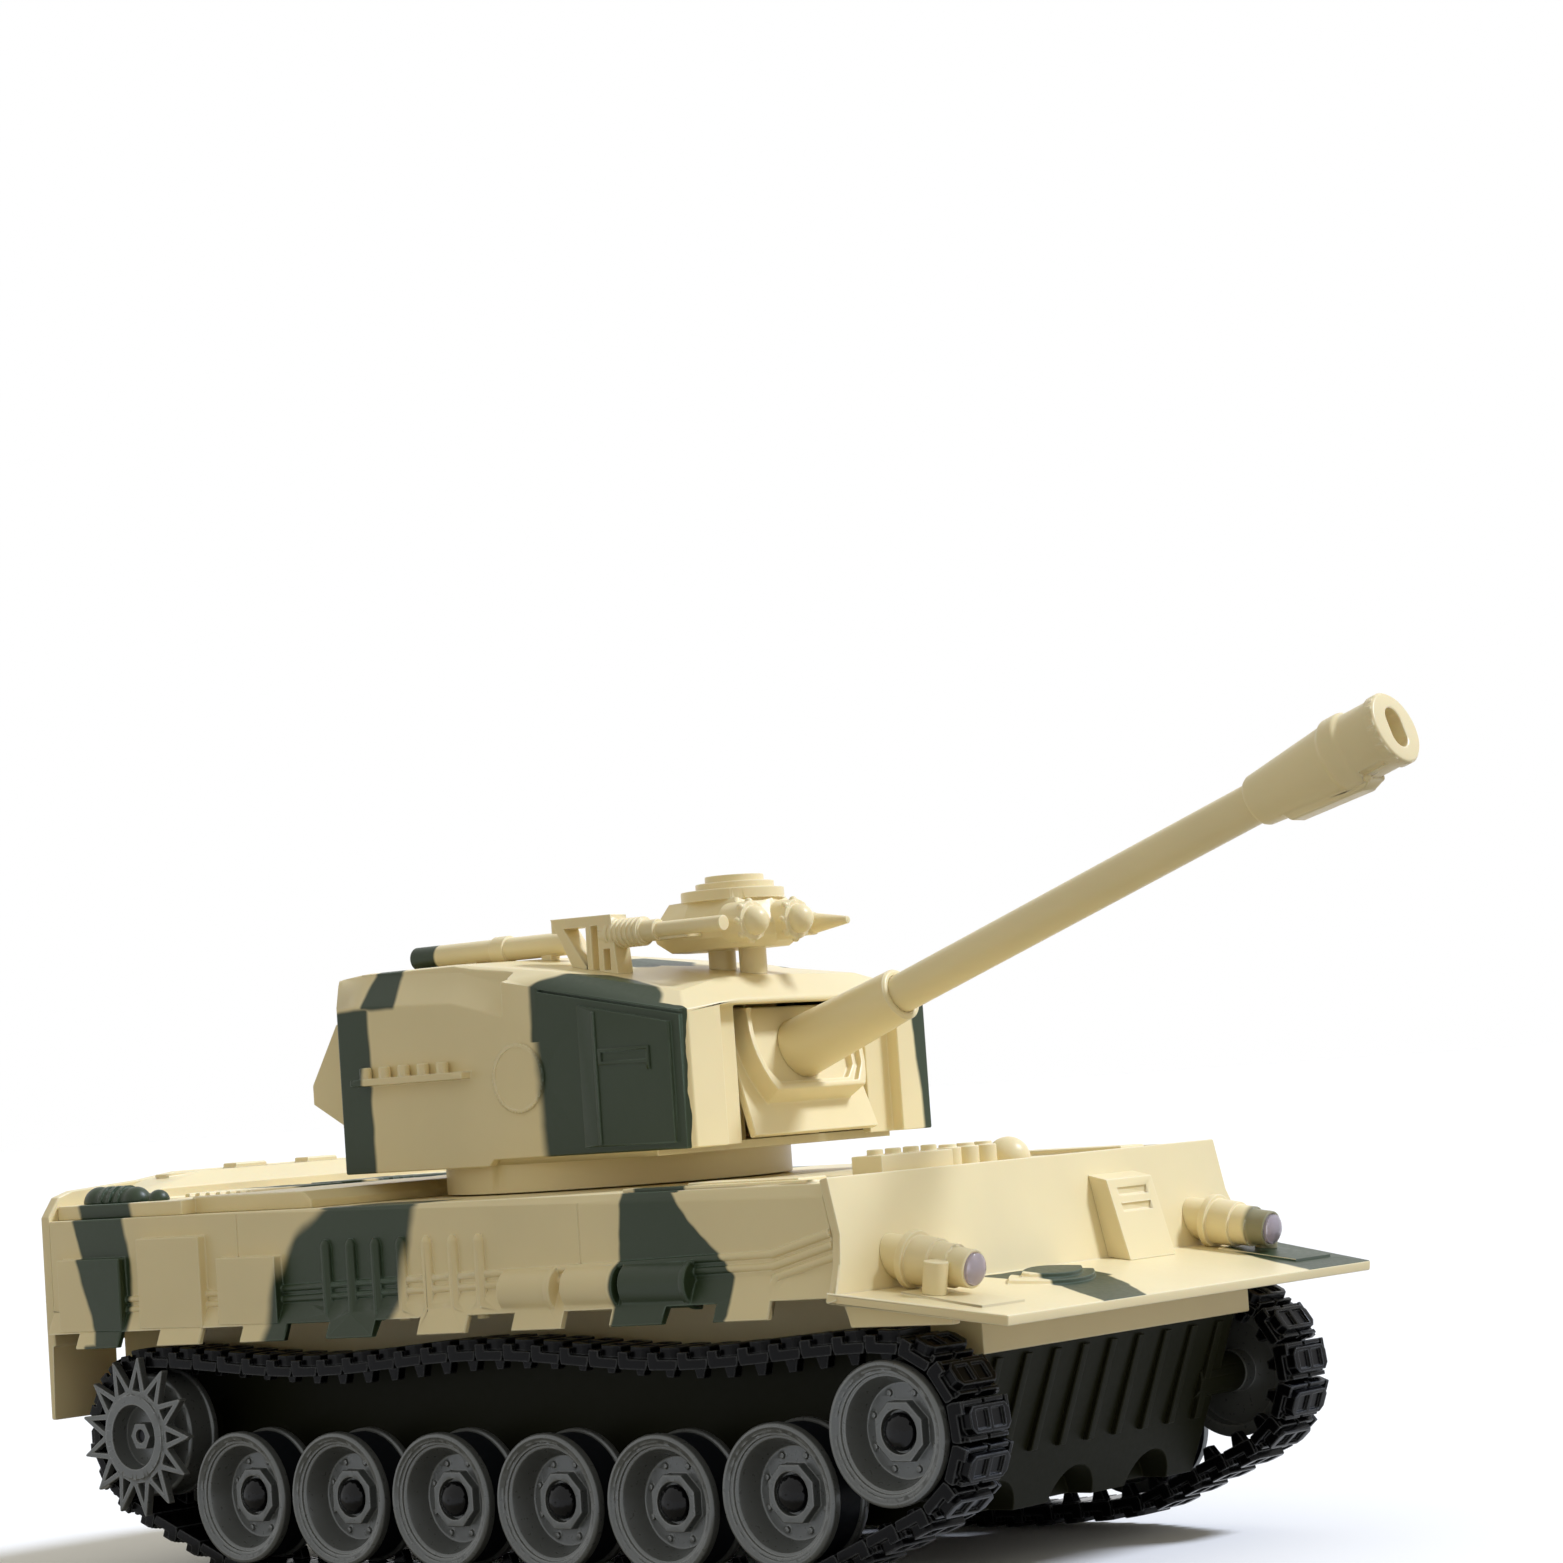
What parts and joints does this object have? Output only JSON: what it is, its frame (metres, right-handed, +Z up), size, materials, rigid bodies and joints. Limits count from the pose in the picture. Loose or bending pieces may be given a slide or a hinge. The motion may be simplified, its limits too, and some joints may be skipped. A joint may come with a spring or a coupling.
{
  "type": "rc tank",
  "caption": "Radio-controlled toy battle tank in sand and green camouflage, with turning turret, raised gun, rubber tracks, dished road wheels and star drive sprockets.",
  "frame": {"origin": "middle of the part's length and width, on the ground under the tracks", "axes": "+X forward along the hull and gun, +Y to the tank's left, +Z up"},
  "size_m": [0.3434, 0.1506, 0.1736],
  "materials": {
    "tan_plastic": "moulded sand-tan plastic with soft sprayed dark green camouflage bands",
    "green_paint": "tan plastic fully covered by the dark green camouflage spray",
    "olive_plastic": "very dark olive moulded plastic, satin",
    "wheel_plastic": "mid-grey satin plastic rims, the drum between them black",
    "black_plastic": "black satin plastic heads on the pins",
    "track_rubber": "black flexible track compound, slightly dusty on its edges",
    "clear_lens": "clear moulded lens",
    "lamp_resin": "amber-tinted lamp resin",
    "steel": "drawn steel",
    "gear_plastic": "dark grey housing plastic",
    "cell_wrap": "shrink-wrapped cells",
    "board_laminate": "green circuit board laminate",
    "red_plastic": "red switch knob"
  },
  "bodies": {
    "hull": {"hull_tub": "olive_plastic", "upper_hull": "tan_plastic", "side_skirt_left": "tan_plastic", "side_skirt_right": "tan_plastic", "glacis_plate": "tan_plastic", "rear_plate": "tan_plastic", "engine_deck": "tan_plastic", "exhaust_domes": "green_paint", "headlight_housings": "tan_plastic", "headlight_lenses": "clear_lens", "headlight_leds": "lamp_resin", "driver_visor": "tan_plastic", "deck_vent_block": "tan_plastic", "battery_door": "olive_plastic", "battery_pack": "cell_wrap", "control_board": "board_laminate", "switch_housing": "gear_plastic", "gearbox_left": "gear_plastic", "gearbox_right": "gear_plastic", "drive_motors": "steel", "axle_pins_left": "black_plastic", "axle_pins_right": "black_plastic", "track_left": "track_rubber", "track_right": "track_rubber", "hull_screws": "steel", "turret_gearbox": "gear_plastic"},
    "switch": {"switch_slider": "red_plastic"},
    "sprocket_left_body": {"sprocket_left": "wheel_plastic", "drive_shaft_left": "steel"},
    "road_wheel_left_1_body": {"road_wheel_left_1": "wheel_plastic"},
    "road_wheel_left_2_body": {"road_wheel_left_2": "wheel_plastic"},
    "road_wheel_left_3_body": {"road_wheel_left_3": "wheel_plastic"},
    "road_wheel_left_4_body": {"road_wheel_left_4": "wheel_plastic"},
    "road_wheel_left_5_body": {"road_wheel_left_5": "wheel_plastic"},
    "road_wheel_left_6_body": {"road_wheel_left_6": "wheel_plastic"},
    "idler_left_body": {"idler_left": "wheel_plastic"},
    "sprocket_right_body": {"sprocket_right": "wheel_plastic", "drive_shaft_right": "steel"},
    "road_wheel_right_1_body": {"road_wheel_right_1": "wheel_plastic"},
    "road_wheel_right_2_body": {"road_wheel_right_2": "wheel_plastic"},
    "road_wheel_right_3_body": {"road_wheel_right_3": "wheel_plastic"},
    "road_wheel_right_4_body": {"road_wheel_right_4": "wheel_plastic"},
    "road_wheel_right_5_body": {"road_wheel_right_5": "wheel_plastic"},
    "road_wheel_right_6_body": {"road_wheel_right_6": "wheel_plastic"},
    "idler_right_body": {"idler_right": "wheel_plastic"},
    "turret": {"turret_shell": "tan_plastic", "turret_base": "tan_plastic", "turret_retainer": "gear_plastic", "turret_bin": "tan_plastic", "roof_tubes": "tan_plastic", "weapon_pod": "tan_plastic", "pod_gun": "tan_plastic", "trunnion_pin": "steel"},
    "gun": {"mantlet": "tan_plastic", "gun_sleeve": "tan_plastic", "gun_barrel": "tan_plastic", "muzzle_brake": "tan_plastic"}
  },
  "joints": [
    {"name": "power_switch", "type": "slide", "parent": "hull", "child": "switch", "axis": [1, 0, 0], "range_m": [0, 0.004]},
    {"name": "drive_left", "type": "hinge", "parent": "hull", "child": "sprocket_left_body", "pos_m": [-0.14159, 0.0605, 0.0337], "axis": [0, 1, 0], "continuous": true},
    {"name": "spin_left_1", "type": "hinge", "parent": "hull", "child": "road_wheel_left_1_body", "pos_m": [-0.10799, 0.0605, 0.02], "axis": [0, 1, 0], "continuous": true},
    {"name": "spin_left_2", "type": "hinge", "parent": "hull", "child": "road_wheel_left_2_body", "pos_m": [-0.07599, 0.0605, 0.02], "axis": [0, 1, 0], "continuous": true},
    {"name": "spin_left_3", "type": "hinge", "parent": "hull", "child": "road_wheel_left_3_body", "pos_m": [-0.04399, 0.0605, 0.02], "axis": [0, 1, 0], "continuous": true},
    {"name": "spin_left_4", "type": "hinge", "parent": "hull", "child": "road_wheel_left_4_body", "pos_m": [-0.01199, 0.0605, 0.02], "axis": [0, 1, 0], "continuous": true},
    {"name": "spin_left_5", "type": "hinge", "parent": "hull", "child": "road_wheel_left_5_body", "pos_m": [0.02001, 0.0605, 0.02], "axis": [0, 1, 0], "continuous": true},
    {"name": "spin_left_6", "type": "hinge", "parent": "hull", "child": "road_wheel_left_6_body", "pos_m": [0.05201, 0.0605, 0.0224], "axis": [0, 1, 0], "continuous": true},
    {"name": "spin_left_idler", "type": "hinge", "parent": "hull", "child": "idler_left_body", "pos_m": [0.08091, 0.0605, 0.0349], "axis": [0, 1, 0], "continuous": true},
    {"name": "drive_right", "type": "hinge", "parent": "hull", "child": "sprocket_right_body", "pos_m": [-0.14159, -0.0605, 0.0337], "axis": [0, 1, 0], "continuous": true},
    {"name": "spin_right_1", "type": "hinge", "parent": "hull", "child": "road_wheel_right_1_body", "pos_m": [-0.10799, -0.0605, 0.02], "axis": [0, 1, 0], "continuous": true},
    {"name": "spin_right_2", "type": "hinge", "parent": "hull", "child": "road_wheel_right_2_body", "pos_m": [-0.07599, -0.0605, 0.02], "axis": [0, 1, 0], "continuous": true},
    {"name": "spin_right_3", "type": "hinge", "parent": "hull", "child": "road_wheel_right_3_body", "pos_m": [-0.04399, -0.0605, 0.02], "axis": [0, 1, 0], "continuous": true},
    {"name": "spin_right_4", "type": "hinge", "parent": "hull", "child": "road_wheel_right_4_body", "pos_m": [-0.01199, -0.0605, 0.02], "axis": [0, 1, 0], "continuous": true},
    {"name": "spin_right_5", "type": "hinge", "parent": "hull", "child": "road_wheel_right_5_body", "pos_m": [0.02001, -0.0605, 0.02], "axis": [0, 1, 0], "continuous": true},
    {"name": "spin_right_6", "type": "hinge", "parent": "hull", "child": "road_wheel_right_6_body", "pos_m": [0.05201, -0.0605, 0.0224], "axis": [0, 1, 0], "continuous": true},
    {"name": "spin_right_idler", "type": "hinge", "parent": "hull", "child": "idler_right_body", "pos_m": [0.08091, -0.0605, 0.0349], "axis": [0, 1, 0], "continuous": true},
    {"name": "turret_yaw", "type": "hinge", "parent": "hull", "child": "turret", "pos_m": [-0.04599, 0, 0.086], "axis": [0, 0, 1], "range_deg": [-160, 160]},
    {"name": "gun_elevation", "type": "hinge", "parent": "turret", "child": "gun", "pos_m": [-0.00099, 0, 0.1085], "axis": [0, -1, 0], "range_deg": [-20, 2]}
  ],
  "couplings": [
    {"joint": "spin_left_1", "follows": "drive_left", "ratio": 1},
    {"joint": "spin_left_2", "follows": "drive_left", "ratio": 1},
    {"joint": "spin_left_3", "follows": "drive_left", "ratio": 1},
    {"joint": "spin_left_4", "follows": "drive_left", "ratio": 1},
    {"joint": "spin_left_5", "follows": "drive_left", "ratio": 1},
    {"joint": "spin_left_6", "follows": "drive_left", "ratio": 1},
    {"joint": "spin_left_idler", "follows": "drive_left", "ratio": 1.0207},
    {"joint": "spin_right_1", "follows": "drive_right", "ratio": 1},
    {"joint": "spin_right_2", "follows": "drive_right", "ratio": 1},
    {"joint": "spin_right_3", "follows": "drive_right", "ratio": 1},
    {"joint": "spin_right_4", "follows": "drive_right", "ratio": 1},
    {"joint": "spin_right_5", "follows": "drive_right", "ratio": 1},
    {"joint": "spin_right_6", "follows": "drive_right", "ratio": 1},
    {"joint": "spin_right_idler", "follows": "drive_right", "ratio": 1.0207}
  ]
}
